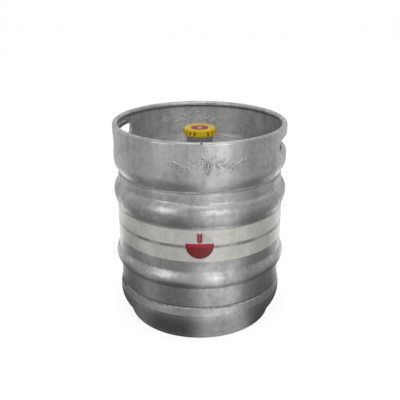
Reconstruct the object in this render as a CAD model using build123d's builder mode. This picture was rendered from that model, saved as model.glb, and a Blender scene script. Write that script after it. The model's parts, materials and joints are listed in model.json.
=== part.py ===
from build123d import *
from math import atan2, cos, pi, radians, sin, sqrt
import os

os.makedirs("parts", exist_ok=True)

# A stainless steel beer keg of about 30 litres, with a flat-top extractor fitting and a plastic dust cap.
# Frame: +Z up along the keg's axis, origin on the floor under the middle, hand holes on +X and -X.
# All sizes are in millimetres.

# ---------------------------------------------------------------- driving dimensions
keg_height = 440.0            # floor to the top of the rolled rim
chime_radius = 185.0          # outside of the top chime
chime_step = 8.5              # the barrel's wall stands this far inside the top chime
shell_sheet = 1.5             # wall of the two barrel halves
chime_sheet = 1.8             # wall of the two chimes
weld_gap = 0.1                # room between a chime's edge and the shell

# barrel
crown_depth = 50.75           # rim down to the top of the head
floor_clearance = 28.0        # floor up to the bottom of the barrel
dome_radius = 484.0           # the large radius of both heads
knuckle_radius = 38.0         # the corner radius between a head and the wall
rib_height = 10.5             # how far a rolling rib stands out of the wall
middle_rise = 3.2             # the wall between the ribs stands out this far
upper_rib_outer = 20.0        # half width of the upper rib towards the head
upper_rib_inner = 28.0        # and towards the seam
lower_rib_outer = 15.5
lower_rib_inner = 19.0
crease_radius = 5.0           # bend where a rib leaves the wall towards the head
slope_radius = 12.0           # softer bend where it runs out towards the seam
upper_rib_drop = 35.2         # where the wall leaves the head's corner, down to the upper rib
lower_rib_rise = 58.95        # the same at the bottom, up to the lower rib
seam_rise = 8.0               # the seam lies this far above the middle between the ribs
girth_weld_half = 1.6
girth_weld_rise = 0.3         # how far the bead stands out of the wall

# top chime
top_chime_height = 99.4       # rim down to the chime's lower edge
taper_height = 16.4           # the flared lower stretch
taper_bend = 34.0             # its bend into the upright wall
bead_radius = 5.6             # outside radius of the rolled edges
bead_land = 0.15              # how far the top of a rolled edge is worn flat
hand_hole_length = 123.0
hand_hole_height = 28.0
hand_hole_depth = 40.5        # rim down to the middle of a hand hole
collar_radius = 8.0           # outside bend of the pressed-in edge
collar_depth = 10.5
collar_land = 4.0             # upright sheet kept above and below that bend
rim_vent_radius = 2.0
rim_vent_slope = 48.0         # the vents point this far above level
rim_vent_angles = (8.5, 121.0, 188.5, 280.5)
drain_radius = 2.6
drain_rise = 2.0              # chime edge up to a drain hole
cut_reach = 20.0              # how far a cutter runs past the sheet it cuts
cut_inset = 8.0               # a drain's cutter starts this far inside the barrel's wall
edge_match = 0.01             # an edge this near a wall counts as lying on it
drain_count = 4
drain_start_angle = 57.0

# bottom chime
bottom_chime_height = 82.0    # floor to the chime's upper edge
bottom_shoulder = 15.0        # height of its drawn-in upper stretch
shoulder_bend = 7.0
bottom_wall_inset = 4.0       # its wall stands this far inside the top chime's
bottom_wall_low = 46.0        # the wall's lower end
bottom_wall_bend = 50.0       # long bend from the wall into the drawn-in foot
foot_inset = 25.0             # the foot stands this far inside the top chime's wall
foot_height = 11.5
foot_bend = 5.0
drain_slot_length = 43.0
drain_slot_height = 8.5
drain_slot_angle = 64.5
drain_slot_overrun = 10.0     # the slot's cutter runs out past the edge
drain_slot_corner = 2.0
weld_leg = 3.2                # height of the bead between a chime and the barrel
weld_shoulder = 1.2
weld_root = 2.0               # the bead's section runs this far into the barrel, then is cut back
weld_top_step = 0.3           # its upper corner stands back from the chime's outside
weld_shoulder_step = 0.6      # and so does its shoulder
weld_toe = 0.4                # width of its thin end

# painted band and round sticker
band_gap_high = 3.5           # upper rib to the band's edge
band_gap_low = 25.5           # lower rib to the band's edge
band_thickness = 0.25
label_radius = 28.0
label_thickness = 0.3
label_angle = 7.5             # from -Y towards +X

# extractor fitting: everything is built outwards from the beer tube
tube_radius = 11.0
tube_wall = 1.0
tube_floor_gap = 12.5         # tube end to the inside of the barrel's bottom
ball_gap = 1.5                # beer way between the ball and the tube
running_gap = 0.1             # tube in its guide
seat_gap = 0.05               # closed valve faces
touch_gap = 0.3               # pieces of different bodies side by side
seal_width = 5.0              # main valve seal around the tube
seat_width = 2.5              # overlap of the seal and the body's lip
gas_way = 1.5                 # chamber wall around the seal
body_wall = 5.4
body_rise = 9.0               # neck's lower end up to the body's lower end
thread_gap = 0.1
neck_wall = 5.5
counterbore_step = 4.2
flange_wall = 3.8
flange_bevel = 2.0            # height of the slope under the flange
flange_room = 0.3             # body's flange in the counterbore
neck_seal_inside = 0.2        # room around the flat seal, inside and outside
neck_seal_outside = 0.4
main_wire_radius = 1.0
main_coil_turns = 8
coil_room = 0.08              # between a spring's end and the face it stands on
valve_wire_radius = 0.6
valve_coil_turns = 5
valve_coil_inset = 2.0        # its coils are this much smaller than the ball
valve_seat_width = 6.0        # ring inside the tube that carries the small spring
valve_seat_thickness = 1.5
cage_wall = 1.2
cage_window_width = 14.0
cage_window_height = 24.0
cage_window_count = 4
cage_window_corner = 4.0
cage_window_start = 45.0      # angle of the first window
cage_flange_inset = 0.6       # its top flange stands back from the thread
cage_sheet_low = 1.5          # floor and top flange of the basket
spring_room_inside = 2.0      # main spring's coils around the tube
cage_room = 3.4               # basket wall around the coils
guide_lip = 2.2               # the guide's width inside the basket floor
guide_foot = 4.0              # its wider foot below the floor
key_slot_width = 6.0          # the four slots for the fitting key
key_slot_depth = 1.5
key_slot_land = 2.2           # wall left between the bore and a slot
edge_break = 0.8              # small chamfers on turned pieces
foot_slot_width = 7.0         # crossed slots in the tube's lower end
foot_slot_height = 7.0

# heights of the fitting, counted down from the rim or up from the piece below
neck_depth = 22.0             # rim down to the top of the neck
flange_height = 9.5
counterbore_depth = 6.0
neck_below_crown = 14.5       # the neck's lower end inside the head
seal_thickness = 1.5
body_flange = 2.5
ring_thickness = 1.2
lip_thickness = 2.5
tube_rise = 2.5               # tube end above the collar
ball_seat_rise = 2.5          # ball's seat above the tube end
ball_seat_width = 1.5         # overlap of the ball and its seat
seal_plug_gap = 0.1           # the seal's lower lip inside the tube
seal_plug_edge = 1.5          # height of the slope from that lip to the ball's seat
collar_inset = 0.6            # the collar stands back from the seal's outside
bore_length = 9.5             # the open bore above the lip
ring_gap = 28.0               # angle between the retaining ring's two ears
ring_ear = 2.0
ring_hole = 0.9
ring_seat = 1.2               # depth of its groove
ring_width = 3.4
ring_room = 0.2               # the ring's edge to the bottom of its groove
ring_notch = 12.0             # depth of the cut between its two ears
ring_eye_inset = 2.2
neck_weld_leg = 3.5
neck_weld_throat = 1.6
seal_height = 7.5
collar_height = 4.5
spring_room = 44.5            # the main spring's length when the valve is shut
valve_spring_room = 16.5

# dust cap
cap_gap = 1.0                 # cap over the neck's flange
cap_wall = 3.0
cap_rise = 4.6                # neck top to cap top
cap_skirt = 10.0              # neck top down to the cap's lower edge
cap_roof = 1.2
cap_land = 1.6                # width of the roof's seat on the neck inside the flange
cap_foot_inset = 2.0          # the lower edge is drawn in this far
cap_foot_height = 3.2
cap_taper = 1.3               # the side leans in this far towards the top
cap_shoulder = 1.8
cap_shoulder_drop = 2.4
cap_dish = 1.2                # depth of the disc below the cap's top
cap_window_width = 3.4
cap_window_height = 8.6
cap_window_corner = 0.6
cap_window_count = 18
cap_panel_half_angle = 24.2   # plain panel without windows
cap_panel_angle = 14.0        # its middle, from -Y towards +X
cap_label_radius = 22.0
cap_label_thickness = 0.4

# ---------------------------------------------------------------- worked out from them
shell_radius = chime_radius - chime_step
middle_radius = shell_radius + middle_rise
rib_radius = shell_radius + rib_height
top_edge = keg_height - top_chime_height
upper_crown = keg_height - crown_depth
head_drop = dome_radius - sqrt((dome_radius - knuckle_radius) ** 2 - (shell_radius - knuckle_radius) ** 2)
upper_rib = upper_crown - head_drop - upper_rib_drop
lower_rib = floor_clearance + head_drop + lower_rib_rise
seam = (upper_rib + lower_rib) / 2 + seam_rise
band_high = upper_rib - upper_rib_inner - band_gap_high
band_low = lower_rib + lower_rib_inner + band_gap_low

neck_top = keg_height - neck_depth
counterbore_floor = neck_top - counterbore_depth
flange_under = neck_top - flange_height
neck_bottom = upper_crown - neck_below_crown
body_flange_low = counterbore_floor + seal_thickness
body_top = body_flange_low + body_flange
lip_top = body_top - bore_length
seat = lip_top - lip_thickness
valve_top = seat - seat_gap
tube_inner = tube_radius - tube_wall
seal_radius = tube_radius + seal_width
lip_radius = seal_radius - seat_width
chamber_radius = seal_radius + gas_way
thread_radius = chamber_radius + body_wall
neck_bore = thread_radius + thread_gap
neck_radius = neck_bore + neck_wall
counterbore_radius = neck_bore + counterbore_step
flange_radius = counterbore_radius + flange_wall
collar_top = valve_top - seal_height
collar_low = collar_top - collar_height
cage_floor_top = collar_low - spring_room
tube_top = collar_top + tube_rise
tube_bottom = floor_clearance + shell_sheet + tube_floor_gap
ball_radius = tube_inner - ball_gap
ball_hole_radius = ball_radius - ball_seat_width
ball_seat = tube_top + ball_seat_rise
ball_middle = ball_seat - sqrt(ball_radius**2 - ball_hole_radius**2) - seat_gap
body_bottom = neck_bottom + body_rise
main_coil_radius = tube_radius + spring_room_inside + main_wire_radius
cage_radius = main_coil_radius + main_wire_radius + cage_room
cap_inner = flange_radius + cap_gap
cap_radius = cap_inner + cap_wall
cap_top = neck_top + cap_rise
cap_low = neck_top - cap_skirt
cap_label_low = cap_top - cap_dish - cap_label_thickness
cap_roof_low = cap_label_low - cap_roof
cap_window_pitch = (360 - 2 * cap_panel_half_angle) / (cap_window_count - 1)


# ---------------------------------------------------------------- shared shapes
def head_circles(side):
    """Middle heights and radii of a head's dome and of its corner; side is +1 up, -1 down."""
    crown = upper_crown if side > 0 else floor_clearance
    dome_middle = crown - side * dome_radius
    corner_reach = shell_radius - knuckle_radius
    corner_middle = dome_middle + side * sqrt((dome_radius - knuckle_radius) ** 2 - corner_reach**2)
    return dome_middle, corner_reach, corner_middle


def wall_at(height, side):
    """Outside radius of the barrel where a chime's edge meets the head's corner."""
    _, corner_reach, corner_middle = head_circles(side)
    return corner_reach + sqrt(knuckle_radius**2 - (height - corner_middle) ** 2)


def dome_at(radius, side):
    """Outside height of a head at a radius."""
    dome_middle, _, _ = head_circles(side)
    return dome_middle + side * sqrt(dome_radius**2 - radius**2)


def on_circle(middle, radius, angle):
    return (middle[0] + radius * cos(angle), middle[1] + radius * sin(angle))


def rib_flank(height, width, inset):
    """Arc radius of one flank of a rib, and how far it reaches along a wall, both moved in by inset."""
    arc = (height**2 + width**2) / (2 * height)
    return arc - inset, sqrt((arc - inset) ** 2 - (arc - height) ** 2)


def barrel_half(side, inset, open_edge):
    """Half section of one barrel half from its open edge to its crown, moved in by inset."""
    dome_middle, corner_reach, corner_middle = head_circles(side)
    rib = upper_rib if side > 0 else lower_rib
    outer_width = upper_rib_outer if side > 0 else lower_rib_outer
    inner_width = upper_rib_inner if side > 0 else lower_rib_inner
    wall = shell_radius - inset
    middle_wall = middle_radius - inset
    outer_arc, outer_reach = rib_flank(rib_height, outer_width, inset)
    inner_arc, inner_reach = rib_flank(rib_height - middle_rise, inner_width, inset)
    apex = (rib_radius - inset, rib)
    outer_end = (wall, rib + side * outer_reach)
    inner_end = (middle_wall, rib - side * inner_reach)
    meet = atan2(corner_middle - dome_middle, corner_reach)
    crown_mid = (meet + side * pi / 2) / 2
    dome, corner = (0, dome_middle), (corner_reach, corner_middle)
    crown_point = on_circle(dome, dome_radius - inset, side * pi / 2)
    meet_point = on_circle(dome, dome_radius - inset, meet)
    with BuildSketch(Plane.XZ) as section:
        with BuildLine():
            ThreePointArc(crown_point, on_circle(dome, dome_radius - inset, crown_mid), meet_point)
            corner_mid = on_circle(corner, knuckle_radius - inset, meet / 2)
            ThreePointArc(meet_point, corner_mid, (wall, corner_middle))
            Line((wall, corner_middle), outer_end)
            TangentArc(apex, outer_end, tangent=(0, side))
            TangentArc(apex, inner_end, tangent=(0, -side))
            Polyline(inner_end, (middle_wall, open_edge), (0, open_edge), crown_point)
        make_face()
        for end, bend in ((outer_end, crease_radius), (inner_end, slope_radius)):
            corners = section.vertices().sort_by_distance((end[0], end[1], 0))
            fillet(corners[0], radius=bend + inset)
    return section.sketch


def ring_section(points):
    """Closed polygon in the half plane of radius and height."""
    with BuildSketch(Plane.XZ) as section:
        with BuildLine():
            Polyline(*points, close=True)
        make_face()
    return section.sketch


def box_section(inner, outer, low, high):
    return ring_section([(inner, low), (outer, low), (outer, high), (inner, high)])


def turn(section, mode=Mode.ADD):
    revolve(section, axis=Axis.Z, mode=mode)


def side_plane(angle, distance=0.0):
    """Upright plane facing away from the axis at an angle counted from -Y towards +X."""
    out = Vector(sin(radians(angle)), -cos(radians(angle)), 0)
    across = Vector(cos(radians(angle)), sin(radians(angle)), 0)
    return Plane(origin=out * distance, x_dir=across, z_dir=out)


def lies_on_wall(edge, radius):
    """Whether an edge lies on an upright round wall."""
    points = [edge @ t for t in (0, 0.5, 1)]
    return all(abs(sqrt(p.X**2 + p.Y**2) - radius) < edge_match for p in points)


def finish(name, piece):
    piece.label = name
    export_step(piece, f"parts/{name}.step")


# ---------------------------------------------------------------- barrel halves
with BuildPart() as upper_shell:
    turn(barrel_half(1, 0, seam + girth_weld_half))
    turn(barrel_half(1, shell_sheet, seam + girth_weld_half), Mode.SUBTRACT)
    with BuildSketch(Plane.XY.offset(neck_bottom)):
        Circle(neck_radius)
    extrude(amount=neck_top - neck_bottom, mode=Mode.SUBTRACT)
finish("upper_shell", upper_shell.part)

with BuildPart() as lower_shell:
    turn(barrel_half(-1, 0, seam - girth_weld_half))
    turn(barrel_half(-1, shell_sheet, seam - girth_weld_half), Mode.SUBTRACT)
finish("lower_shell", lower_shell.part)

with BuildPart() as girth_weld:
    bead_out = middle_radius + girth_weld_rise
    turn(
        ring_section(
            [
                (middle_radius - shell_sheet, seam - girth_weld_half),
                (middle_radius, seam - girth_weld_half),
                (bead_out, seam - girth_weld_half / 2),
                (bead_out, seam + girth_weld_half / 2),
                (middle_radius, seam + girth_weld_half),
                (middle_radius - shell_sheet, seam + girth_weld_half),
            ]
        )
    )
finish("girth_weld", girth_weld.part)


# ---------------------------------------------------------------- top chime
def hand_hole_ring(inset):
    """Thick ring at the hand holes with rounded hole edges, moved in by inset."""
    wall = chime_radius - inset
    room = collar_radius + collar_land
    low = keg_height - hand_hole_depth - hand_hole_height / 2 - room
    high = keg_height - hand_hole_depth + hand_hole_height / 2 + room
    with BuildPart() as ring:
        turn(box_section(wall - collar_depth, wall, low, high))
        with BuildSketch(Plane.YZ.offset(-chime_radius - cut_reach)):
            with Locations((0, keg_height - hand_hole_depth)):
                SlotOverall(hand_hole_length + 2 * inset, hand_hole_height + 2 * inset)
        extrude(amount=2 * (chime_radius + cut_reach), mode=Mode.SUBTRACT)
        hole_edges = ring.edges().filter_by(
            lambda e: lies_on_wall(e, wall) and low + edge_match < e.center().Z < high - edge_match
        )
        fillet(hole_edges, radius=collar_radius - inset)
    return ring.part, low, high


outer_ring, ring_low, ring_high = hand_hole_ring(0)
inner_ring, _, _ = hand_hole_ring(chime_sheet)
sheet_middle = chime_radius - chime_sheet / 2
bead_middle = (chime_radius - bead_radius, keg_height - bead_radius + bead_land)
top_edge_radius = wall_at(top_edge, 1) + weld_gap + chime_sheet / 2
with BuildPart() as top_chime:
    with BuildSketch(Plane.XZ):
        with BuildLine():
            FilletPolyline(
                (top_edge_radius, top_edge),
                (sheet_middle, top_edge + taper_height),
                (sheet_middle, bead_middle[1]),
                radius=taper_bend,
            )
        trace(line_width=chime_sheet)
        with BuildLine():
            CenterArc(bead_middle, bead_radius - chime_sheet / 2, 0, 270)
        trace(line_width=chime_sheet)
    turn(None)
    turn(box_section(0, chime_radius + cut_reach, keg_height, keg_height + bead_radius), Mode.SUBTRACT)
    turn(box_section(chime_radius - cut_reach, chime_radius + cut_reach, ring_low, ring_high), Mode.SUBTRACT)
    add(outer_ring - inner_ring)
    for angle in rim_vent_angles:
        level = side_plane(angle, bead_middle[0])
        slope = level.z_dir * cos(radians(rim_vent_slope)) + Vector(0, 0, sin(radians(rim_vent_slope)))
        middle = level.origin + Vector(0, 0, bead_middle[1])
        with BuildSketch(Plane(origin=middle, x_dir=level.x_dir, z_dir=slope)):
            Circle(rim_vent_radius)
        extrude(amount=2 * bead_radius, mode=Mode.SUBTRACT)
    for step in range(drain_count):
        with BuildSketch(side_plane(drain_start_angle + 360 / drain_count * step, shell_radius - cut_inset)):
            with Locations((0, top_edge + drain_radius + drain_rise)):
                Circle(drain_radius)
        extrude(amount=cut_reach, mode=Mode.SUBTRACT)
finish("top_chime", top_chime.part)

# ---------------------------------------------------------------- bottom chime
bottom_middle = chime_radius - bottom_wall_inset - chime_sheet / 2
foot_middle = chime_radius - foot_inset - chime_sheet / 2
foot_bead = (foot_middle + chime_sheet / 2 - bead_radius, bead_radius - bead_land)
bottom_edge_radius = wall_at(bottom_chime_height, -1) + weld_gap + chime_sheet / 2


def drain_slots():
    """Cuts the two drain slots out of the bottom chime's upper edge."""
    height = drain_slot_height + drain_slot_overrun
    for angle in (drain_slot_angle - 180, drain_slot_angle):
        with BuildSketch(side_plane(-angle, shell_radius - cut_inset)) as slot:
            with Locations((0, bottom_chime_height - drain_slot_height + height / 2)):
                RectangleRounded(drain_slot_length, height, drain_slot_corner)
        extrude(slot.sketch, amount=cut_reach, mode=Mode.SUBTRACT)


with BuildPart() as bottom_chime:
    with BuildSketch(Plane.XZ):
        with BuildLine():
            FilletPolyline(
                (bottom_edge_radius, bottom_chime_height),
                (bottom_middle, bottom_chime_height - bottom_shoulder),
                (bottom_middle, bottom_wall_low),
                (foot_middle, foot_height),
                (foot_middle, foot_bead[1]),
                radius=(shoulder_bend, bottom_wall_bend, foot_bend),
            )
        trace(line_width=chime_sheet)
        with BuildLine():
            CenterArc(foot_bead, bead_radius - chime_sheet / 2, 0, -270)
        trace(line_width=chime_sheet)
    turn(None)
    turn(box_section(0, chime_radius, -bead_radius, 0), Mode.SUBTRACT)
    drain_slots()
finish("bottom_chime", bottom_chime.part)


# ---------------------------------------------------------------- weld beads
def edge_weld(edge_z, edge_r, side):
    """Fillet bead in the corner between a chime's edge and the barrel's wall."""
    toe = edge_z - side * weld_leg
    sharp = wall_at(toe, side) + weld_gap / 2
    outside = edge_r + chime_sheet / 2
    with BuildPart() as bead:
        turn(
            ring_section(
                [
                    (wall_at(edge_z, side) - weld_root, edge_z),
                    (outside - weld_top_step, edge_z),
                    (outside - weld_shoulder_step, edge_z - side * weld_shoulder),
                    (sharp + weld_toe, toe),
                    (sharp - weld_root, toe),
                ]
            )
        )
        turn(barrel_half(side, 0, seam), Mode.SUBTRACT)
        add(top_chime.part if side > 0 else bottom_chime.part, mode=Mode.SUBTRACT)
    return bead.part


with BuildPart() as top_chime_weld:
    add(edge_weld(top_edge, top_edge_radius, 1))
finish("top_chime_weld", top_chime_weld.part)

with BuildPart() as bottom_chime_weld:
    add(edge_weld(bottom_chime_height, bottom_edge_radius, -1))
    drain_slots()
finish("bottom_chime_weld", bottom_chime_weld.part)

# ---------------------------------------------------------------- painted band and sticker
with BuildPart() as colour_band:
    ridge = middle_radius + girth_weld_rise + band_thickness
    skin = middle_radius + band_thickness
    turn(
        ring_section(
            [
                (middle_radius, band_low),
                (skin, band_low),
                (skin, seam - girth_weld_half),
                (ridge, seam - girth_weld_half / 2),
                (ridge, seam + girth_weld_half / 2),
                (skin, seam + girth_weld_half),
                (skin, band_high),
                (middle_radius, band_high),
            ]
        )
    )
    add(girth_weld.part, mode=Mode.SUBTRACT)
finish("colour_band", colour_band.part)

with BuildPart() as side_label:
    label_room = label_radius + cut_reach
    with BuildSketch(side_plane(label_angle, middle_radius - cut_reach / 2)):
        with Locations((0, seam)):
            Circle(label_radius)
    extrude(amount=cut_reach)
    label_out = ridge + label_thickness
    turn(box_section(0, label_out, seam - label_room, seam + label_room), Mode.INTERSECT)
    turn(box_section(0, middle_radius, seam - label_room, seam + label_room), Mode.SUBTRACT)
    add(colour_band.part, mode=Mode.SUBTRACT)
    add(girth_weld.part, mode=Mode.SUBTRACT)
finish("side_label", side_label.part)

# ---------------------------------------------------------------- neck
with BuildPart() as neck:
    turn(
        ring_section(
            [
                (neck_bore, neck_bottom),
                (neck_radius, neck_bottom),
                (neck_radius, flange_under - flange_bevel),
                (flange_radius, flange_under),
                (flange_radius, neck_top - edge_break),
                (flange_radius - edge_break, neck_top),
                (counterbore_radius, neck_top),
                (counterbore_radius, counterbore_floor),
                (neck_bore, counterbore_floor),
            ]
        )
    )
    groove_wall = counterbore_radius + ring_seat
    turn(box_section(neck_bore, groove_wall, body_top, body_top + ring_thickness), Mode.SUBTRACT)
finish("neck", neck.part)

with BuildPart() as neck_weld:
    weld_out = neck_radius + neck_weld_leg
    weld_mid = neck_radius + neck_weld_leg / 2
    foot_in = (neck_radius, dome_at(neck_radius, 1))
    foot_out = (weld_out, dome_at(weld_out, 1))
    bulge = (neck_radius + neck_weld_throat, dome_at(neck_radius, 1) + neck_weld_throat)
    with BuildSketch(Plane.XZ):
        with BuildLine():
            ThreePointArc(foot_in, (weld_mid, dome_at(weld_mid, 1)), foot_out)
            Polyline(foot_out, bulge, (neck_radius, foot_in[1] + neck_weld_leg), foot_in)
        make_face()
    turn(None)
finish("neck_weld", neck_weld.part)

with BuildPart() as neck_seal:
    seal_inner = neck_bore + neck_seal_inside
    seal_outer = counterbore_radius - neck_seal_outside
    turn(box_section(seal_inner, seal_outer, counterbore_floor, body_flange_low))
finish("neck_seal", neck_seal.part)

# ---------------------------------------------------------------- fitting body, ring, basket
with BuildPart() as spear_body:
    body_flange_radius = counterbore_radius - flange_room
    turn(
        ring_section(
            [
                (chamber_radius, body_bottom),
                (thread_radius, body_bottom),
                (thread_radius, body_flange_low),
                (body_flange_radius, body_flange_low),
                (body_flange_radius, body_top),
                (chamber_radius + edge_break, body_top),
                (chamber_radius, body_top - edge_break),
                (chamber_radius, lip_top),
                (lip_radius, lip_top),
                (lip_radius, seat),
                (chamber_radius, seat),
            ]
        )
    )
    for side in (0, 90, 180, 270):
        with BuildSketch(side_plane(side, chamber_radius + key_slot_land)):
            with Locations((0, body_top)):
                Rectangle(key_slot_width, 2 * key_slot_depth)
        extrude(amount=counterbore_radius, mode=Mode.SUBTRACT)
finish("spear_body", spear_body.part)

ring_eye = counterbore_radius - ring_eye_inset
ring_out = counterbore_radius + ring_seat - ring_room
with BuildPart() as retaining_ring:
    with BuildSketch(Plane.XY.offset(body_top)):
        Circle(ring_out)
        Circle(ring_out - ring_width, mode=Mode.SUBTRACT)
        with Locations((0, counterbore_radius)):
            Rectangle(2 * ring_eye * sin(radians(ring_gap / 2)), ring_notch, mode=Mode.SUBTRACT)
        with PolarLocations(ring_eye, 2, start_angle=90 - ring_gap / 2, angular_range=2 * ring_gap):
            Circle(ring_ear)
            Circle(ring_hole, mode=Mode.SUBTRACT)
    extrude(amount=ring_thickness)
finish("retaining_ring", retaining_ring.part)

cage_bottom = cage_floor_top - cage_sheet_low
cage_flange_low = body_bottom - cage_sheet_low
cage_flange_radius = thread_radius - cage_flange_inset
guide_wall = tube_radius + guide_lip
with BuildPart() as spear_cage:
    turn(
        ring_section(
            [
                (cage_radius, body_bottom),
                (cage_flange_radius, body_bottom),
                (cage_flange_radius, cage_flange_low),
                (cage_radius + cage_wall, cage_flange_low),
                (cage_radius + cage_wall, cage_bottom),
                (guide_wall, cage_bottom),
                (guide_wall, cage_floor_top),
                (cage_radius, cage_floor_top),
            ]
        )
    )
    window_middle = (cage_floor_top + body_bottom) / 2
    for step in range(cage_window_count):
        angle = cage_window_start + 360 / cage_window_count * step
        with BuildSketch(side_plane(angle, guide_wall)):
            with Locations((0, window_middle)):
                RectangleRounded(cage_window_width, cage_window_height, cage_window_corner)
        extrude(amount=cut_reach, mode=Mode.SUBTRACT)
finish("spear_cage", spear_cage.part)

with BuildPart() as tube_guide:
    guide_bore = tube_radius + running_gap
    guide_low = cage_floor_top - guide_foot
    turn(
        ring_section(
            [
                (guide_bore, guide_low),
                (tube_radius + guide_foot, guide_low),
                (tube_radius + guide_foot, cage_bottom),
                (guide_wall, cage_bottom),
                (guide_wall, cage_floor_top),
                (guide_bore, cage_floor_top),
            ]
        )
    )
finish("tube_guide", tube_guide.part)


def coil(low, high, coil_radius, wire_radius, turns):
    """Round-wire spring standing between two faces."""
    room = wire_radius + coil_room
    height = high - low - 2 * room
    with BuildPart() as spring:
        with BuildLine():
            path = Helix(height / turns, height, coil_radius, center=(0, 0, low + room))
        with BuildSketch(Plane(origin=path @ 0, z_dir=path % 0)):
            Circle(wire_radius)
        sweep(path=path, is_frenet=True)
    return spring.part


finish("main_spring", coil(cage_floor_top, collar_low, main_coil_radius, main_wire_radius, main_coil_turns))

# ---------------------------------------------------------------- moving tube and its valve
with BuildPart() as spear_tube:
    turn(box_section(tube_inner, tube_radius, tube_bottom, tube_top))
    for angle in (0, 90):
        with BuildSketch(side_plane(angle, -2 * tube_radius)):
            with Locations((0, tube_bottom)):
                Rectangle(foot_slot_width, 2 * foot_slot_height)
        extrude(amount=4 * tube_radius, mode=Mode.SUBTRACT)
finish("spear_tube", spear_tube.part)

with BuildPart() as tube_collar:
    turn(box_section(tube_radius, seal_radius - collar_inset, collar_low, collar_top))
    chamfer(tube_collar.edges().group_by(Axis.Z)[0].sort_by(SortBy.LENGTH)[-1], length=edge_break)
finish("tube_collar", tube_collar.part)

with BuildPart() as main_valve_seal:
    seal_plug = tube_inner - seal_plug_gap
    turn(
        ring_section(
            [
                (tube_radius, collar_top),
                (seal_radius, collar_top),
                (seal_radius, valve_top - edge_break),
                (seal_radius - edge_break, valve_top),
                (ball_hole_radius, valve_top),
                (ball_hole_radius, ball_seat),
                (seal_plug, ball_seat - seal_plug_edge),
                (seal_plug, tube_top),
                (tube_radius, tube_top),
            ]
        )
    )
finish("main_valve_seal", main_valve_seal.part)

with BuildPart() as valve_ball:
    with Locations((0, 0, ball_middle)):
        Sphere(ball_radius)
finish("valve_ball", valve_ball.part)

valve_coil_radius = ball_radius - valve_coil_inset
coil_reach = ball_radius + valve_wire_radius + seat_gap
coil_top_middle = ball_middle - sqrt(coil_reach**2 - valve_coil_radius**2)
valve_spring_high = coil_top_middle + valve_wire_radius
valve_seat_top = valve_spring_high - valve_spring_room
valve_seat_low = valve_seat_top - valve_seat_thickness
with BuildPart() as valve_spring_seat:
    turn(box_section(tube_inner - valve_seat_width, tube_inner, valve_seat_low, valve_seat_top))
finish("valve_spring_seat", valve_spring_seat.part)

valve_coil = coil(
    valve_seat_top, valve_spring_high, valve_coil_radius, valve_wire_radius, valve_coil_turns
)
finish("valve_spring", valve_coil)

# ---------------------------------------------------------------- dust cap
with BuildPart() as dust_cap:
    dish_wall = cap_label_radius + touch_gap / 2
    shoulder = cap_radius - cap_taper
    turn(
        ring_section(
            [
                (cap_inner, cap_low),
                (cap_radius - cap_foot_inset, cap_low),
                (cap_radius, cap_low + cap_foot_height),
                (shoulder, cap_top - cap_shoulder_drop),
                (shoulder - cap_shoulder, cap_top),
                (dish_wall, cap_top),
                (dish_wall, cap_label_low),
                (0, cap_label_low),
                (0, cap_roof_low),
                (counterbore_radius + cap_land, cap_roof_low),
                (counterbore_radius + cap_land, neck_top + seat_gap),
                (cap_inner, neck_top + seat_gap),
            ]
        )
    )
    window_low = cap_low + cap_foot_height
    first = cap_panel_angle + cap_panel_half_angle
    for step in range(cap_window_count):
        with BuildSketch(side_plane(first + cap_window_pitch * step, cap_inner - cap_gap / 2)):
            with Locations((0, window_low + cap_window_height / 2)):
                RectangleRounded(cap_window_width, cap_window_height, cap_window_corner)
        extrude(amount=cut_reach, mode=Mode.SUBTRACT)
finish("dust_cap", dust_cap.part)

with BuildPart() as cap_label:
    turn(box_section(0, cap_label_radius, cap_label_low, cap_label_low + cap_label_thickness))
finish("cap_label", cap_label.part)
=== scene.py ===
import bpy
import bmesh
import json
from math import cos, hypot, pi, radians, sin
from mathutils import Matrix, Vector


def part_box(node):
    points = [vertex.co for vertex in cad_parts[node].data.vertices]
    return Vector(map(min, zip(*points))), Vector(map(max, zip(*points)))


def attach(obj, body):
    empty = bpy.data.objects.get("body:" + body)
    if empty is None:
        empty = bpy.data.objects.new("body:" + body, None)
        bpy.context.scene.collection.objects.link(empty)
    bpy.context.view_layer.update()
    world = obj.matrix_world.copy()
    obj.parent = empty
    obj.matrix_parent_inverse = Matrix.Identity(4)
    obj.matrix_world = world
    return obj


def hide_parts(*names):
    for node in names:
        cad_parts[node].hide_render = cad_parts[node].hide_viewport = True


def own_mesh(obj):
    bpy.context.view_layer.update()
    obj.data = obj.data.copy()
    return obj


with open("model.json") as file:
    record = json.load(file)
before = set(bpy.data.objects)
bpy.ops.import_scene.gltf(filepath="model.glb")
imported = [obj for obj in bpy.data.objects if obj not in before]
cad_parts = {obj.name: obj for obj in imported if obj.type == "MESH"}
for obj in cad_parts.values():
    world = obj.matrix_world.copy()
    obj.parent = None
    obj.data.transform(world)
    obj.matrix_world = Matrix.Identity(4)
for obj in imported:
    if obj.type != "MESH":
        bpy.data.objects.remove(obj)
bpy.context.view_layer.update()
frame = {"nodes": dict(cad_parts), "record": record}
nodes = frame["nodes"]

# ---------------------------------------------------------------- places read from the frame, in metres
chime_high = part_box("top_chime")[1]
chime_radius = chime_high.x
rim_height = chime_high.z
band_low, band_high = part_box("colour_band")
band_middle = (band_low.z + band_high.z) / 2
weld_low, weld_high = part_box("girth_weld")
seam_height = (weld_low.z + weld_high.z) / 2
label_low, label_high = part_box("side_label")
label_middle = (label_low + label_high) / 2
label_radius = (label_high.z - label_low.z) / 2
top_weld_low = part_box("top_chime_weld")[0].z
bottom_weld_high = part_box("bottom_chime_weld")[1].z
flange_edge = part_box("neck")[1].x - 0.0004      # the neck is painted dark outside this radius: painted shade and dirt under the cap
cap_print_radius = 0.022

VIEW_AZIMUTH = 7.5          # the camera stands this far from -Y towards +X, in degrees
EMBOSS_AZIMUTH = 12.5       # the embossed ornament's middle
LABEL_AZIMUTH = 7.5


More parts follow.
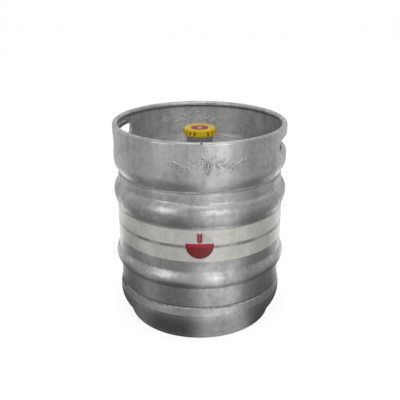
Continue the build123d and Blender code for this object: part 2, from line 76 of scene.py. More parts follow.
def around(radius, azimuth, height):
    """A point at an azimuth counted in degrees from -Y towards +X."""
    a = radians(azimuth)
    return Vector((radius * sin(a), -radius * cos(a), height))


# ---------------------------------------------------------------- material building
class Graph:
    """Shorthand for one material's or the world's node tree."""

    def __init__(self, tree):
        self.tree = tree
        tree.nodes.clear()

    def node(self, kind, inputs=None, **settings):
        made = self.tree.nodes.new(kind)
        for name, value in settings.items():
            setattr(made, name, value)
        for key, value in (inputs or {}).items():
            self.feed(made.inputs[key], value)
        return made

    def feed(self, socket, value):
        if isinstance(value, bpy.types.NodeSocket):
            self.tree.links.new(value, socket)
        elif isinstance(value, bpy.types.Node):
            self.tree.links.new(value.outputs[0], socket)
        elif isinstance(value, (tuple, list)) and len(value) == 3 and socket.type == "RGBA":
            socket.default_value = (*value, 1)
        else:
            socket.default_value = value

    def math(self, operation, a, b=0.0, c=0.0, clamp=False):
        return self.node("ShaderNodeMath", {0: a, 1: b, 2: c}, operation=operation, use_clamp=clamp)

    def smooth(self, value, low, high, to_low=0.0, to_high=1.0):
        """A smooth step from to_low to to_high as value goes from low to high."""
        inputs = {"Value": value, "From Min": low, "From Max": high, "To Min": to_low, "To Max": to_high}
        return self.node("ShaderNodeMapRange", inputs, interpolation_type="SMOOTHSTEP")

    def mix(self, share, a, b, blend="MIX"):
        made = self.node("ShaderNodeMix", data_type="RGBA", blend_type=blend)
        self.feed(made.inputs[0], share)
        self.feed(made.inputs[6], a)
        self.feed(made.inputs[7], b)
        return made.outputs[2]

    def place(self):
        return self.node("ShaderNodeTexCoord").outputs["Object"]

    def scaled(self, vector, x, y, z):
        return self.node("ShaderNodeVectorMath", {0: vector, 1: (x, y, z)}, operation="MULTIPLY")

    def noise(self, vector, scale, detail=4.0, roughness=0.55, distortion=0.0):
        inputs = {
            "Vector": vector,
            "Scale": scale,
            "Detail": detail,
            "Roughness": roughness,
            "Distortion": distortion,
        }
        return self.node("ShaderNodeTexNoise", inputs).outputs["Fac"]

    def radius(self, place):
        """Distance of a place from the keg's axis."""
        parts = self.node("ShaderNodeSeparateXYZ", {0: place})
        across, along = self.math("POWER", parts.outputs["X"], 2), self.math("POWER", parts.outputs["Y"], 2)
        return self.math("SQRT", self.math("ADD", across, along))

    def bump(self, height, distance, strength=1.0, normal=None):
        inputs = {"Height": height, "Distance": distance, "Strength": strength}
        if normal is not None:
            inputs["Normal"] = normal
        return self.node("ShaderNodeBump", inputs)


def new_material(name):
    material = bpy.data.materials.new(name)
    material.use_nodes = True
    graph = Graph(material.node_tree)
    shader = graph.node("ShaderNodeBsdfPrincipled")
    out = graph.node("ShaderNodeOutputMaterial")
    graph.feed(out.inputs["Surface"], shader)
    return material, graph, shader


def height_band(graph, height, middle, half, soft):
    """1 near a height, falling to 0 at half + soft from it."""
    distance = graph.math("ABSOLUTE", graph.math("SUBTRACT", height, middle))
    return graph.smooth(distance, half, half + soft, 1.0, 0.0)


def worn_steel(name, tone, rough=(0.30, 0.46), streaks=0.5, shade_and_dirt_rings=(), lip=None):
    """Pickled and handled stainless steel: blotches, runs, fine brushing, scratches, and painted shade with
    dirt in the corners.

    The dark rings are rows of (height, half width, fade, strength) of painted shade with dirt in the corners.
    lip is (height, radius, fade) of a shadow line on the inner side.
    """
    material, g, shader = new_material(name)
    place = g.place()
    height = g.node("ShaderNodeSeparateXYZ", {0: place}).outputs["Z"]
    clouds = g.noise(place, 21, 6, 0.68, 0.5)
    runs = g.noise(g.scaled(place, 55, 55, 7), 1, 4, 0.6)
    mottle = g.noise(place, 110, 5, 0.68)
    brushing = g.noise(g.scaled(place, 12, 12, 900), 1, 3, 0.6)
    grain = g.noise(place, 1500, 2, 0.5)
    scratch_field = g.noise(g.scaled(place, 30, 30, 210), 1, 2, 0.5, 1.2)
    scratches = g.smooth(g.math("ABSOLUTE", g.math("SUBTRACT", scratch_field, 0.5)), 0.0, 0.012, 1.0, 0.0)

    shade = g.math("MULTIPLY_ADD", clouds, 0.55, 0.0)
    shade = g.math("MULTIPLY_ADD", runs, 0.3 * streaks + 0.1, shade)
    shade = g.math("MULTIPLY_ADD", mottle, 0.40, shade)
    shade = g.smooth(shade, 0.38, 0.78)
    colour = g.mix(shade, (tone * 0.66,) * 3, (tone * 1.20,) * 3)
    fine = g.math("MULTIPLY_ADD", brushing, 0.16, 0.92)
    colour = g.mix(1.0, colour, g.node("ShaderNodeCombineColor", {0: fine, 1: fine, 2: fine}), "MULTIPLY")
    colour = g.mix(g.math("MULTIPLY", scratches, 0.35), colour, (tone * 1.35,) * 3)
    # Painted shade with dirt: dark rings in the corners beside the welds.
    for middle, half, soft, strength in shade_and_dirt_rings:
        ring = height_band(g, height, middle, half, soft)
        patchy = g.math("MULTIPLY", ring, g.math("MULTIPLY_ADD", mottle, 0.8, strength - 0.4, clamp=True))
        colour = g.mix(patchy, colour, (0.085, 0.083, 0.080))
    if lip is not None:
        lip_height, lip_radius, fade = lip
        inside = g.smooth(g.radius(place), lip_radius - 0.0006, lip_radius, 1.0, 0.0)
        rising = g.smooth(height, lip_height - fade, lip_height)
        falling = g.smooth(height, lip_height + 0.0006, lip_height + 0.0030, 1.0, 0.0)
        shadow = g.math("MULTIPLY", inside, g.math("MULTIPLY", rising, falling))
        colour = g.mix(g.math("MULTIPLY", shadow, 0.85), colour, (0.05, 0.05, 0.05))
    g.feed(shader.inputs["Base Color"], colour)
    shader.inputs["Metallic"].default_value = 1.0
    roughness = g.math("MULTIPLY_ADD", g.math("SUBTRACT", 1.0, shade), rough[1] - rough[0], rough[0])
    roughness = g.math("MULTIPLY_ADD", mottle, 0.10, roughness)
    g.feed(shader.inputs["Roughness"], roughness)
    dents = g.bump(g.noise(place, 11, 2, 0.5), 0.0035, 0.55)
    ripple = g.bump(mottle, 0.0007, 0.5, dents)
    lines = g.bump(brushing, 0.00012, 0.35, ripple)
    pits = g.bump(grain, 0.00008, 0.4, lines)
    g.feed(shader.inputs["Normal"], pits)
    return material


def weld_metal(name):
    """Cleaned weld bead: bright with scale ripples across it."""
    material, g, shader = new_material(name)
    place = g.place()
    parts = g.node("ShaderNodeSeparateXYZ", {0: place})
    turn = g.math("ARCTAN2", parts.outputs["Y"], parts.outputs["X"])
    ripples = g.math("SINE", g.math("MULTIPLY", turn, 720))
    patches = g.noise(place, 140, 4, 0.6)
    colour = g.mix(g.smooth(patches, 0.3, 0.7), (0.36, 0.35, 0.33), (0.80, 0.79, 0.77))
    g.feed(shader.inputs["Base Color"], colour)
    shader.inputs["Metallic"].default_value = 1.0
    g.feed(shader.inputs["Roughness"], g.math("MULTIPLY_ADD", patches, 0.25, 0.22))
    g.feed(shader.inputs["Normal"], g.bump(patches, 0.0006, 0.7, g.bump(ripples, 0.0003, 0.5)))
    return material


def turned_steel(name, tone, rough):
    """Machined steel with fine turning lines, painted dark at the edge of the neck's flange as shade and dirt
    under the cap.
    """
    material, g, shader = new_material(name)
    place = g.place()
    height = g.node("ShaderNodeSeparateXYZ", {0: place}).outputs["Z"]
    radius = g.radius(place)
    pitch = 2600
    across, up = g.math("MULTIPLY", radius, pitch), g.math("MULTIPLY", height, pitch)
    grooves = g.noise(g.node("ShaderNodeCombineXYZ", {0: across, 2: up}), 1, 2, 0.5)
    stains = g.noise(place, 90, 4, 0.6)
    colour = g.mix(g.smooth(stains, 0.3, 0.75), (tone * 0.72,) * 3, (tone,) * 3)
    # Painted shade and dirt under the cap: the flange's edge is darkened.
    cap_shade_and_dirt = g.smooth(radius, flange_edge - 0.0006, flange_edge)
    colour = g.mix(g.math("MULTIPLY", cap_shade_and_dirt, 0.9), colour, (0.03, 0.03, 0.03))
    g.feed(shader.inputs["Base Color"], colour)
    shader.inputs["Metallic"].default_value = 1.0
    g.feed(shader.inputs["Roughness"], g.math("MULTIPLY_ADD", stains, 0.2, rough))
    g.feed(shader.inputs["Normal"], g.bump(grooves, 0.00006, 0.5))
    return material


def band_paint(name):
    """Cream keg band: satin paint with smudges, runs, rubbed edges and scratches down to the steel."""
    material, g, shader = new_material(name)
    place = g.place()
    height = g.node("ShaderNodeSeparateXYZ", {0: place}).outputs["Z"]
    smudges = g.noise(place, 20, 6, 0.65, 0.4)
    runs = g.noise(g.scaled(place, 70, 70, 9), 1, 4, 0.6)
    specks = g.noise(place, 260, 3, 0.6)
    scuff_field = g.noise(g.scaled(place, 26, 26, 160), 1, 3, 0.55, 1.5)
    scuffs = g.smooth(g.math("ABSOLUTE", g.math("SUBTRACT", scuff_field, 0.5)), 0.0, 0.014, 1.0, 0.0)
    cream = g.mix(g.smooth(smudges, 0.30, 0.72), (0.70, 0.69, 0.635), (0.93, 0.92, 0.865))
    cream = g.mix(g.smooth(runs, 0.52, 0.75, 0.0, 0.35), cream, (0.42, 0.41, 0.38))
    edge = g.math("ABSOLUTE", g.math("SUBTRACT", height, band_middle))
    half = (band_high.z - band_low.z) / 2
    edge = g.math("MULTIPLY_ADD", specks, 0.0022, edge)
    rubbed = g.smooth(edge, half - 0.0006, half + 0.0006)
    chips = g.math("MULTIPLY", g.smooth(specks, 0.70, 0.74), g.smooth(smudges, 0.45, 0.3))
    bare = g.math("MAXIMUM", g.math("MAXIMUM", rubbed, chips), g.math("MULTIPLY", scuffs, 0.45))
    # Painted shade and dirt in a soft dark line just below the seam's ridge.
    seam_line = height_band(g, height, seam_height - 0.0030, 0.0012, 0.0050)
    seam_shade_and_dirt = g.math("MULTIPLY", seam_line, g.smooth(smudges, 0.35, 0.6, 0.25, 0.8))
    colour = g.mix(bare, cream, (0.50, 0.50, 0.50))
    colour = g.mix(seam_shade_and_dirt, colour, (0.16, 0.155, 0.15))
    g.feed(shader.inputs["Base Color"], colour)
    g.feed(shader.inputs["Metallic"], g.math("MULTIPLY_ADD", bare, 0.5, 0.30))
    g.feed(shader.inputs["Roughness"], g.math("MULTIPLY_ADD", smudges, 0.22, 0.24))
    shader.inputs["Coat Weight"].default_value = 0.15
    shader.inputs["Coat Roughness"].default_value = 0.2
    dents = g.bump(g.noise(place, 13, 2, 0.5), 0.003, 0.5)
    g.feed(shader.inputs["Normal"], g.bump(specks, 0.0002, 0.3, dents))
    return material


class Plot:
    """Flat drawing made of distance fields in a material, for printed labels."""

    def __init__(self, graph, across, up):
        self.g = graph
        self.x = across
        self.y = up

    def turned(self, x, y, angle):
        """Coordinates about a point, turned by an angle in degrees."""
        g = self.g
        c, s = cos(radians(angle)), sin(radians(angle))
        dx, dy = g.math("SUBTRACT", self.x, x), g.math("SUBTRACT", self.y, y)
        along = g.math("ADD", g.math("MULTIPLY", dx, c), g.math("MULTIPLY", dy, s))
        over = g.math("SUBTRACT", g.math("MULTIPLY", dy, c), g.math("MULTIPLY", dx, s))
        return along, over

    def inside(self, field, soft=0.02):
        """1 where the field is below 0."""
        return self.g.smooth(field, -soft, soft, 1.0, 0.0)

    def ellipse(self, x, y, wide, tall, angle=0.0):
        g = self.g
        along, over = self.turned(x, y, angle)
        a, b = g.math("DIVIDE", along, wide), g.math("DIVIDE", over, tall)
        length = g.math("SQRT", g.math("ADD", g.math("MULTIPLY", a, a), g.math("MULTIPLY", b, b)))
        return self.inside(g.math("MULTIPLY", g.math("SUBTRACT", length, 1.0), min(wide, tall)))

    def bar(self, x, y, wide, tall, angle=0.0):
        g = self.g
        along, over = self.turned(x, y, angle)
        a = g.math("SUBTRACT", g.math("ABSOLUTE", along), wide)
        b = g.math("SUBTRACT", g.math("ABSOLUTE", over), tall)
        return self.inside(g.math("MAXIMUM", a, b))

    def below(self, x, y, angle):
        _, over = self.turned(x, y, angle)
        return self.inside(over)

    def ring(self, x, y, radius, half):
        g = self.g
        along, over = self.turned(x, y, 0)
        squares = g.math("ADD", g.math("MULTIPLY", along, along), g.math("MULTIPLY", over, over))
        off = g.math("ABSOLUTE", g.math("SUBTRACT", g.math("SQRT", squares), radius))
        return self.inside(g.math("SUBTRACT", off, half))


def across_axis(g, parts, azimuth, radius):
    """-1 to 1 along a level line that faces an azimuth."""
    a = radians(azimuth)
    x = g.math("MULTIPLY", parts.outputs["X"], cos(a) / radius)
    return g.math("ADD", x, g.math("MULTIPLY", parts.outputs["Y"], sin(a) / radius))


def barley_ear(plot, x, y, size, grains=4):
    """Mask of an upright barley ear: paired grains along a stalk."""
    g = plot.g
    found = plot.bar(x, y, size * 1.15, size * 0.05, 90)
    for step in range(grains):
        for side in (-1, 1):
            grain_x, grain_y = x + side * size * 0.30, y + size * (-0.55 + 0.5 * step)
            grain = plot.ellipse(grain_x, grain_y, size * 0.42, size * 0.22, 90 - side * 30)
            found = g.math("MAXIMUM", found, grain)
    return found


def side_print(name):
    """Printed round sticker: one barley ear on a pale field, a level crimson stripe and a wine-red foot."""
    material, g, shader = new_material(name)
    place = g.place()
    parts = g.node("ShaderNodeSeparateXYZ", {0: place})
    up = g.math("DIVIDE", g.math("SUBTRACT", parts.outputs["Z"], label_middle.z), label_radius)
    plot = Plot(g, across_axis(g, parts, LABEL_AZIMUTH, label_radius), up)
    wear = g.noise(place, 420, 4, 0.6)
    colour = g.mix(g.smooth(wear, 0.3, 0.7), (0.60, 0.59, 0.55), (0.78, 0.77, 0.72))
    wine = g.mix(g.smooth(wear, 0.35, 0.7), (0.20, 0.006, 0.008), (0.30, 0.014, 0.014))
    colour = g.mix(plot.below(0, -0.10, 0), colour, wine)
    colour = g.mix(plot.bar(0, 0.02, 1.0, 0.14), colour, (0.48, 0.010, 0.040))
    outline = plot.ring(0, 0, 0.965, 0.035)
    colour = g.mix(g.math("MULTIPLY", outline, plot.below(0, 0.16, 0)), colour, (0.09, 0.004, 0.005))
    colour = g.mix(barley_ear(plot, 0.0, 0.52, 0.34), colour, (0.34, 0.012, 0.024))
    g.feed(shader.inputs["Base Color"], colour)
    g.feed(shader.inputs["Roughness"], g.math("MULTIPLY_ADD", wear, 0.2, 0.28))
    shader.inputs["Coat Weight"].default_value = 0.2
    shader.inputs["Coat Roughness"].default_value = 0.2
    g.feed(shader.inputs["Normal"], g.bump(wear, 0.0001, 0.35))
    return material


def cap_print(name):
    """Printed disc in the cap: whitish ring, red field, one pale barley ear."""
    material, g, shader = new_material(name)
    place = g.place()
    parts = g.node("ShaderNodeSeparateXYZ", {0: place})
    a = radians(VIEW_AZIMUTH)
    y = g.math("MULTIPLY", parts.outputs["Y"], cos(a) / cap_print_radius)
    up = g.math("SUBTRACT", y, g.math("MULTIPLY", parts.outputs["X"], sin(a) / cap_print_radius))
    plot = Plot(g, across_axis(g, parts, VIEW_AZIMUTH, cap_print_radius), up)
    wear = g.noise(place, 500, 4, 0.6)
    pale = g.mix(g.smooth(wear, 0.3, 0.7), (0.62, 0.55, 0.47), (0.80, 0.75, 0.66))
    red = g.mix(g.smooth(wear, 0.3, 0.7), (0.30, 0.006, 0.008), (0.42, 0.014, 0.018))
    colour = g.mix(plot.ellipse(0, 0, 0.86, 0.86), pale, red)
    colour = g.mix(barley_ear(plot, 0.0, 0.0, 0.34), colour, (0.80, 0.40, 0.38))
    g.feed(shader.inputs["Base Color"], colour)
    g.feed(shader.inputs["Roughness"], g.math("MULTIPLY_ADD", wear, 0.2, 0.25))
    shader.inputs["Specular IOR Level"].default_value = 0.25
    g.feed(shader.inputs["Normal"], g.bump(wear, 0.0001, 0.35))
    return material


def moulded_plastic(name, colour, deep, rough):
    """Moulded plastic with a soft mottle, faint flow lines and a fine texture."""
    material, g, shader = new_material(name)
    place = g.place()
    flow = g.noise(g.scaled(place, 60, 60, 260), 1, 3, 0.6, 0.6)
    texture = g.noise(place, 900, 3, 0.6)
    mixed = g.mix(g.smooth(flow, 0.3, 0.75), deep, colour)
    g.feed(shader.inputs["Base Color"], mixed)
    g.feed(shader.inputs["Roughness"], g.math("MULTIPLY_ADD", texture, 0.15, rough))
    shader.inputs["Specular IOR Level"].default_value = 0.32
    g.feed(shader.inputs["Normal"], g.bump(texture, 0.00012, 0.35))
    return material


def rubber(name):
    material, g, shader = new_material(name)
    place = g.place()
    dust = g.noise(place, 160, 4, 0.6)
    colour = g.mix(g.smooth(dust, 0.35, 0.8), (0.012, 0.012, 0.013), (0.05, 0.05, 0.05))
    g.feed(shader.inputs["Base Color"], colour)
    g.feed(shader.inputs["Roughness"], g.math("MULTIPLY_ADD", dust, 0.25, 0.4))
    g.feed(shader.inputs["Normal"], g.bump(dust, 0.0002, 0.3))
    return material


def polished(name, tone):
    material, g, shader = new_material(name)
    place = g.place()
    haze = g.noise(place, 220, 3, 0.6)
    g.feed(shader.inputs["Base Color"], g.mix(g.smooth(haze, 0.3, 0.7), (tone * 0.85,) * 3, (tone,) * 3))
    shader.inputs["Metallic"].default_value = 1.0
    g.feed(shader.inputs["Roughness"], g.math("MULTIPLY_ADD", haze, 0.12, 0.08))
    g.feed(shader.inputs["Normal"], g.bump(haze, 0.00003, 0.3))
    return material


# ---------------------------------------------------------------- materials on the CAD nodes
weld_margin = 0.0012
bead_height = 0.0105        # of the rolled rim
chime_sheet = 0.0018
barrel_steel = worn_steel(
    "barrel_steel",
    0.62,
    rough=(0.30, 0.44),
    # painted shade with dirt just below the top chime weld and just above the bottom chime weld
    shade_and_dirt_rings=(
        (top_weld_low - weld_margin, 0.0004, 0.0030, 0.40),
        (bottom_weld_high + weld_margin, 0.0004, 0.0030, 0.40),
    ),
)
rim_lip = (rim_height - bead_height, chime_radius - chime_sheet / 2, 0.0075)
chime_steel = worn_steel("chime_steel", 0.62, streaks=0.8, lip=rim_lip)
weld_steel = weld_metal("weld_steel")
fitting_steel = turned_steel("fitting_steel", 0.55, 0.22)
spring_steel = polished("spring_steel", 0.62)
ball_steel = polished("ball_steel", 0.80)
cap_plastic = moulded_plastic("cap_plastic", (0.96, 0.70, 0.002), (0.86, 0.56, 0.002), 0.30)
guide_plastic = moulded_plastic("guide_plastic", (0.80, 0.80, 0.77), (0.62, 0.62, 0.60), 0.35)
seal_rubber = rubber("seal_rubber")

finishes = {
    "barrel_steel": barrel_steel,
    "chime_steel": chime_steel,
    "weld_steel": weld_steel,
    "band_paint": band_paint("band_paint"),
    "label_print": side_print("label_print"),
    "cap_print": cap_print("cap_print"),
    "cap_plastic": cap_plastic,
    "fitting_steel": fitting_steel,
    "seal_rubber": seal_rubber,
    "guide_plastic": guide_plastic,
    "spring_steel": spring_steel,
    "ball_steel": ball_steel,
}
for part in frame["record"]["subparts"]:
    node = nodes[part["node"]]
    node.data.materials.clear()
    node.data.materials.append(finishes[part["material_slot"]])


# ---------------------------------------------------------------- pieces made in Blender
def piece(name, mesh_maker, body, material):
    """A new smooth mesh piece riding on a body, from a function that fills a bmesh."""
    mesh = bpy.data.meshes.new(name)
    bm = bmesh.new()
    mesh_maker(bm)
    bmesh.ops.recalc_face_normals(bm, faces=bm.faces)
    bm.to_mesh(mesh)
    bm.free()
    for polygon in mesh.polygons:
        polygon.use_smooth = True
    mesh.materials.append(material)
    made = bpy.data.objects.new(name, mesh)
    bpy.context.scene.collection.objects.link(made)
    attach(made, body)
    return made


def wire_coil(low, high, coil_radius, wire, turns, ground=0.75, steps=40, sides=14):
    """Maker of a compression spring with closed end coils between two heights."""

    def fill(bm):
        rings = []
        total = int(turns * steps)
        reach = high - low - 2 * wire
        for i in range(total + 1):
            t = i / total
            lead = min(t * turns / ground, 1.0, (1 - t) * turns / ground)
            rise = t + 0.5 * (1 - lead) * (0.5 - t) * 0.12
            angle = 2 * pi * turns * t
            middle = Vector((coil_radius * cos(angle), coil_radius * sin(angle), low + wire + reach * rise))
            out = Vector((cos(angle), sin(angle), 0))
            ring = []
            for k in range(sides):
                a = 2 * pi * k / sides
                ring.append(bm.verts.new(middle + out * wire * cos(a) + Vector((0, 0, wire * sin(a)))))
            rings.append(ring)
        for a, b in zip(rings, rings[1:]):
            for k in range(sides):
                bm.faces.new((a[k], a[(k + 1) % sides], b[(k + 1) % sides], b[k]))
        bm.faces.new(rings[0])
        bm.faces.new(rings[-1])

    return fill


def coil_for(node, name, body, turns, wire):
    """Replaces a CAD spring by a coil riding on a body."""
    low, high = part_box(node)
    bottom, top = low.z, high.z
    made = piece(name, wire_coil(bottom, top, high.x - wire, wire, turns), body, spring_steel)
    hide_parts(node)
    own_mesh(made)
    return made


coil_for("main_spring", "main_spring_coil", "keg", turns=8, wire=0.001)
coil_for("valve_spring", "valve_spring_coil", "dip_tube", turns=5, wire=0.0006)


SUNK = 0.00025              # the edges of raised shapes lie this far inside the sheet


def on_wall(radius, azimuth, across, up, out):
    """A point on a round wall: across and up along it, out from it."""
    return around(radius + out, azimuth + across / radius * 180 / pi, up)


def blister(bm, place, x, y, wide, tall, angle, rise, rings=4, sides=14):
    """A domed oval lying on a surface given by place(x, y, out)."""
    c, s = cos(radians(angle)), sin(radians(angle))
    top = bm.verts.new(place(x, y, rise))
    previous = None
    for ring in range(1, rings + 1):
        t = ring / rings
        level = rise * cos(t * pi / 2) ** 0.8 if ring < rings else -SUNK
        current = []
        for k in range(sides):
            a = 2 * pi * k / sides
            u, v = wide * t * cos(a), tall * t * sin(a)
            current.append(bm.verts.new(place(x + u * c - v * s, y + u * s + v * c, level)))
        for k in range(sides):
            if previous is None:
                bm.faces.new((top, current[k], current[(k + 1) % sides]))
            else:
                bm.faces.new((previous[k], current[k], current[(k + 1) % sides], previous[(k + 1) % sides]))
        previous = current
    bm.faces.new(list(reversed(previous)))


def strand(bm, place, points, half, rise, sides=7):
    """A raised rib that follows points on a surface, tapering to both ends."""
    rows = []
    count = len(points)
    for i, (x, y) in enumerate(points):
        ahead = points[min(i + 1, count - 1)]
        behind = points[max(i - 1, 0)]
        dx, dy = ahead[0] - behind[0], ahead[1] - behind[1]
        length = hypot(dx, dy)
        nx, ny = -dy / length, dx / length
        t = i / (count - 1)
        swell = max(0.12, min(1.0, 6 * t, 6 * (1 - t)))
        row = []
        for k in range(sides + 1):
            a = pi * k / sides
            offset = -cos(a) * half * swell
            level = sin(a) * rise * swell - (SUNK if k in (0, sides) else 0)
            row.append(bm.verts.new(place(x + nx * offset, y + ny * offset, level)))
        rows.append(row)
    for a, b in zip(rows, rows[1:]):
        for k in range(sides):
            bm.faces.new((a[k], a[k + 1], b[k + 1], b[k]))
        bm.faces.new((a[sides], a[0], b[0], b[sides]))
    bm.faces.new(rows[0])
    bm.faces.new(list(reversed(rows[-1])))


# The ornament's sizes in metres, across and up from its middle.
EMBOSS_DROP = 0.0445        # rim down to the ornament's middle
OUTSIDE_RISE = 0.0016
INSIDE_RISE = 0.0009
VINE_START = 0.010
VINE_END = 0.080
VINE_WAVE = 0.046
VINE_SWING = 0.0045
VINE_HALF = 0.0017
VINE_POINTS = 60
LEAF_PAIRS = 7
LEAF_FIRST = 0.004
LEAF_PITCH = 0.0095
LEAF_AHEAD = 0.0042
LEAF_BESIDE = 0.0050
LEAF_HALVES = (0.0064, 0.0026)
LEAF_LEAN = 40
LEAF_SHRINK = 0.06          # each pair is smaller by this share
CROWN_LEAF = (0.0085, 0.0150)
CROWN_LEAF_HALVES = (0.0072, 0.0034)
CROWN_LEAF_LEAN = 24
CONE_ROWS = (2, 3, 3, 3, 2, 1)
CONE_TOP = 0.0100
CONE_ROW_PITCH = 0.0050
CONE_SCALE_PITCH = 0.0056
CONE_SCALE_HALVES = (0.0038, 0.0032)


def vine_height(x):
    """How far the vine swings up or down at a distance from the middle."""
    return VINE_SWING * sin(2 * pi * (x - VINE_START) / VINE_WAVE)


def hop_garland(bm, place, rise):
    """The ornament pressed into the chime: a hop cone with a waving, leafy vine running out to both sides."""
    for side in (-1, 1):
        reach = [VINE_START + (VINE_END - VINE_START) * k / (VINE_POINTS - 1) for k in range(VINE_POINTS)]
        strand(bm, place, [(side * x, vine_height(x)) for x in reach], VINE_HALF, rise)
        for pair in range(LEAF_PAIRS):
            x = VINE_START + LEAF_FIRST + LEAF_PITCH * pair
            size = 1.0 - LEAF_SHRINK * pair
            halves = [half * size for half in LEAF_HALVES]
            for turn in (-1, 1):
                middle = vine_height(x) + turn * LEAF_BESIDE * size
                blister(bm, place, side * (x + LEAF_AHEAD), middle, *halves, side * turn * LEAF_LEAN, rise)
        x, y = side * CROWN_LEAF[0], CROWN_LEAF[1]
        blister(bm, place, x, y, *CROWN_LEAF_HALVES, side * CROWN_LEAF_LEAN, rise)
    for row, count in enumerate(CONE_ROWS):
        for k in range(count):
            x = (k - (count - 1) / 2) * CONE_SCALE_PITCH
            blister(bm, place, x, CONE_TOP - row * CONE_ROW_PITCH, *CONE_SCALE_HALVES, -90, rise)


emboss_height = rim_height - EMBOSS_DROP
for azimuth, where in ((EMBOSS_AZIMUTH, "front"), (EMBOSS_AZIMUTH + 180, "rear")):

    def outer(x, y, out, azimuth=azimuth):
        return on_wall(chime_radius, azimuth, x, emboss_height + y, out)

    def inner(x, y, out, azimuth=azimuth):
        return on_wall(chime_radius - chime_sheet, azimuth, x, emboss_height + y, -out)

    for face, place, rise in (("outside", outer, OUTSIDE_RISE), ("inside", inner, INSIDE_RISE)):
        piece(
            f"ornament_{where}_{face}",
            lambda bm: hop_garland(bm, place, rise),
            "keg",
            chime_steel,
        )

# ---------------------------------------------------------------- smooth shading on the CAD nodes
for node in nodes.values():
    for polygon in node.data.polygons:
        polygon.use_smooth = True

# ---------------------------------------------------------------- floor, light and camera
# Bearings are in degrees from the camera's; each row is (middle, flat half width, full half width, level).
# The floor's patches and the tall boxes are seen only in reflections; the camera sees a plain, pale stage.
FLOOR_DARK = 0.14
FLOOR_CARDS = ((21, 9, 34, 0.78), (152, 26, 54, 1.15), (-152, 26, 54, 1.15), (-58, 4, 22, 0.20))
FLOOR_FAR = 0.42
FAR_CARDS = ((18, 14, 46, 0.18), (180, 40, 78, 0.24), (66, 4, 14, -0.16), (-62, 8, 24, -0.08))
WALL_LEVEL = 0.28
WALL_BOXES = ((21, 8, 30, 0.30), (-48, 5, 24, 0.25), (180, 60, 100, 0.30))
CEILING_LEVEL = 0.56
NEAR_SHADE = 0.46           # share of the floor's level right beside the keg
SEEN_FLOOR = 0.84
SEEN_DIFFUSE = 0.30


def lobes(g, value, middles):
    """Sum of smooth bumps over an angle in degrees: (middle, flat half width, full half width, height)."""
    total = 0.0
    for middle, flat, full, height in middles:
        turned = g.math("WRAP", g.math("SUBTRACT", value, middle), 180.0, -180.0)
        total = g.math("ADD", total, g.smooth(g.math("ABSOLUTE", turned), flat, full, height, 0.0))
    return total


def stage_floor():
    """A floor that is plain and pale to the camera, and grey with soft bright patches in the steel."""
    bpy.ops.mesh.primitive_plane_add(size=16, location=(0, 0, 0))
    floor = bpy.context.object
    floor.name = "stage_floor"
    material = bpy.data.materials.new("stage_floor")
    material.use_nodes = True
    g = Graph(material.node_tree)
    path = g.node("ShaderNodeLightPath")
    parts = g.node("ShaderNodeSeparateXYZ", {0: g.place()})
    x, y = parts.outputs["X"], parts.outputs["Y"]
    bearing = g.math("ARCTAN2", x, g.math("MULTIPLY", y, -1.0))
    bearing = g.math("SUBTRACT", g.math("MULTIPLY", bearing, 180 / pi), VIEW_AZIMUTH)
    distance = g.math("SQRT", g.math("ADD", g.math("MULTIPLY", x, x), g.math("MULTIPLY", y, y)))
    cards = g.math("ADD", lobes(g, bearing, FLOOR_CARDS), FLOOR_DARK)
    far = g.math("ADD", lobes(g, bearing, FAR_CARDS), FLOOR_FAR)
    spread = g.smooth(distance, 0.50, 1.15)
    level = g.math("ADD", g.math("MULTIPLY", far, spread),
                   g.math("MULTIPLY", cards, g.math("SUBTRACT", 1.0, spread)))
    level = g.math("MULTIPLY", level, g.smooth(distance, 0.20, 0.44, NEAR_SHADE, 1.0))
    shade = g.node("ShaderNodeCombineColor", {0: level, 1: level, 2: level})
    unseen = g.node("ShaderNodeEmission", {"Color": shade, "Strength": 1.0})
    seen = g.node("ShaderNodeAddShader", {
        0: g.node("ShaderNodeEmission", {"Color": (1, 1, 1), "Strength": SEEN_FLOOR}),
        1: g.node("ShaderNodeBsdfDiffuse", {"Color": (SEEN_DIFFUSE,) * 3}),
    })
    mixed = g.node("ShaderNodeMixShader", {0: path.outputs["Is Camera Ray"], 1: unseen, 2: seen})
    g.feed(g.node("ShaderNodeOutputMaterial").inputs["Surface"], mixed)
    floor.data.materials.append(material)


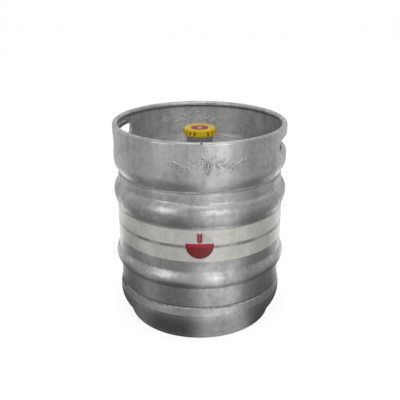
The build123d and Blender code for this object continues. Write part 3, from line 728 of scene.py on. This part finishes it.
def studio_world():
    """White to the camera; to the object a dim room with a soft ceiling and a few tall boxes."""
    world = bpy.data.worlds.new("studio")
    bpy.context.scene.world = world
    world.use_nodes = True
    g = Graph(world.node_tree)
    path = g.node("ShaderNodeLightPath")
    toward = g.node("ShaderNodeTexCoord").outputs["Generated"]
    parts = g.node("ShaderNodeSeparateXYZ", {0: toward})
    up = parts.outputs["Z"]
    bearing = g.math("ARCTAN2", parts.outputs["X"], g.math("MULTIPLY", parts.outputs["Y"], -1.0))
    bearing = g.math("SUBTRACT", g.math("MULTIPLY", bearing, 180 / pi), VIEW_AZIMUTH)
    walls = g.math("ADD", lobes(g, bearing, WALL_BOXES), WALL_LEVEL)
    ceiling = g.smooth(up, 0.35, 0.95)
    level = g.math("ADD", g.math("MULTIPLY", walls, g.math("SUBTRACT", 1.0, ceiling)),
                   g.math("MULTIPLY", ceiling, CEILING_LEVEL))
    colour = g.node("ShaderNodeCombineColor", {0: level, 1: level, 2: g.math("MULTIPLY", level, 1.02)})
    lit = g.node("ShaderNodeBackground", {"Color": colour, "Strength": 1.0})
    white = g.node("ShaderNodeBackground", {"Color": (1, 1, 1), "Strength": 1.0})
    mixed = g.node("ShaderNodeMixShader", {0: path.outputs["Is Camera Ray"], 1: lit, 2: white})
    g.feed(g.node("ShaderNodeOutputWorld").inputs["Surface"], mixed)


def area_light(name, azimuth, distance, height, size, power, target_height):
    """A soft box at a bearing from the camera's, aimed at a height on the keg's axis."""
    data = bpy.data.lights.new(name, "AREA")
    data.shape = "RECTANGLE"
    data.size, data.size_y = size
    data.energy = power
    made = bpy.data.objects.new(name, data)
    bpy.context.scene.collection.objects.link(made)
    made.location = around(distance, VIEW_AZIMUTH + azimuth, height)
    aim = Vector((0, 0, target_height)) - made.location
    made.rotation_mode = "QUATERNION"
    made.rotation_quaternion = aim.to_track_quat("-Z", "Y")
    made.visible_camera = False


CAMERA_OUT = 1.2874
CAMERA_UP = 0.7568
CAMERA_PITCH = 21.26        # degrees down


def photo_camera():
    """Camera at the photograph's angle: 1.29 m out, 0.76 m up, looking 21 degrees down."""
    data = bpy.data.cameras.new("camera")
    data.lens = 55.8
    data.sensor_width = 36.0
    data.shift_x = 0.0007
    camera = bpy.data.objects.new("camera", data)
    bpy.context.scene.collection.objects.link(camera)
    camera.location = around(CAMERA_OUT, VIEW_AZIMUTH, CAMERA_UP)
    pitch = radians(CAMERA_PITCH)
    a = radians(VIEW_AZIMUTH)
    ahead = Vector((-sin(a) * cos(pitch), cos(a) * cos(pitch), -sin(pitch)))
    camera.rotation_mode = "QUATERNION"
    camera.rotation_quaternion = ahead.to_track_quat("-Z", "Y")
    bpy.context.scene.camera = camera


stage_floor()
studio_world()
area_light("top_light", 20, 0.5, 2.2, (1.2, 1.2), 5, 0.3)
area_light("front_right_box", 24, 1.9, 0.7, (0.5, 1.3), 4.5, 0.2)
area_light("front_left_box", -46, 1.9, 0.7, (0.4, 1.2), 3, 0.2)
photo_camera()
bpy.context.scene.view_settings.view_transform = "Standard"
